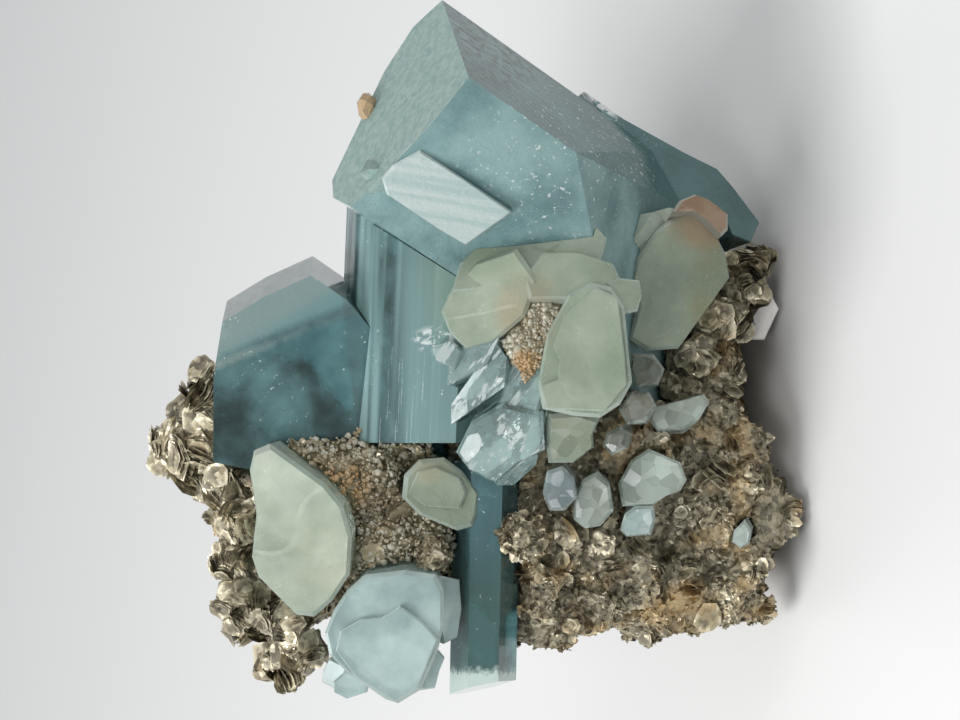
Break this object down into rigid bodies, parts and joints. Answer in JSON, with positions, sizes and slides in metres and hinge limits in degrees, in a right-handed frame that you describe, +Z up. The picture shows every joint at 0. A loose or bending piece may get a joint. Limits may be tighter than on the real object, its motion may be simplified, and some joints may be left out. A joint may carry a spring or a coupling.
{
  "type": "aquamarine beryl specimen on muscovite",
  "caption": "Cluster of glassy six-sided aquamarine and pale tabular beryl crystals on a mica matrix with a flat cut foot; stands free as a display specimen.",
  "frame": {"origin": "centre of the bounding box at its base, on the surface that the specimen stands on", "axes": "+Z up, +X to the right seen from the front along the longest extent, +Y to the back"},
  "size_m": [0.2982, 0.2049, 0.2624],
  "materials": {
    "aquamarine": "clear to milky blue-green crystal, glassy faces with frosted ends",
    "pale_beryl": "translucent pale green crystal, satin faces with growth steps",
    "stained_beryl": "translucent crystal stained orange-brown",
    "albite": "white cleavage plate",
    "mica": "pearly silver-brown muscovite books",
    "mica_matrix": "mass of small grey-brown mica flakes with rusty stains"
  },
  "bodies": {
    "root": {"large_aquamarine": "aquamarine", "middle_aquamarine": "aquamarine", "upper_aquamarine": "aquamarine", "left_aquamarine": "aquamarine", "clear_aquamarines": "aquamarine", "clear_beryl_upper": "aquamarine", "clear_beryl_middle": "aquamarine", "clear_beryl_lower": "aquamarine", "grey_beryl": "aquamarine", "green_beryl_cluster": "pale_beryl", "grey_green_plate": "pale_beryl", "pale_green_plate": "pale_beryl", "pale_blue_plate": "pale_beryl", "centre_plate": "pale_beryl", "brown_green_crystal": "pale_beryl", "pale_beryl_round": "pale_beryl", "pale_beryl_left": "pale_beryl", "pale_beryl_middle": "pale_beryl", "pale_beryl_right": "pale_beryl", "white_beryl_foot": "pale_beryl", "top_mica_rosette": "mica", "left_mica_books": "mica", "foot_mica_books": "mica", "upper_mica_ball": "mica", "lower_mica_ball": "mica", "mica_druse": "mica", "stained_beryl": "stained_beryl", "albite_plate": "albite", "mica_matrix": "mica_matrix"}
  },
  "joints": []
}
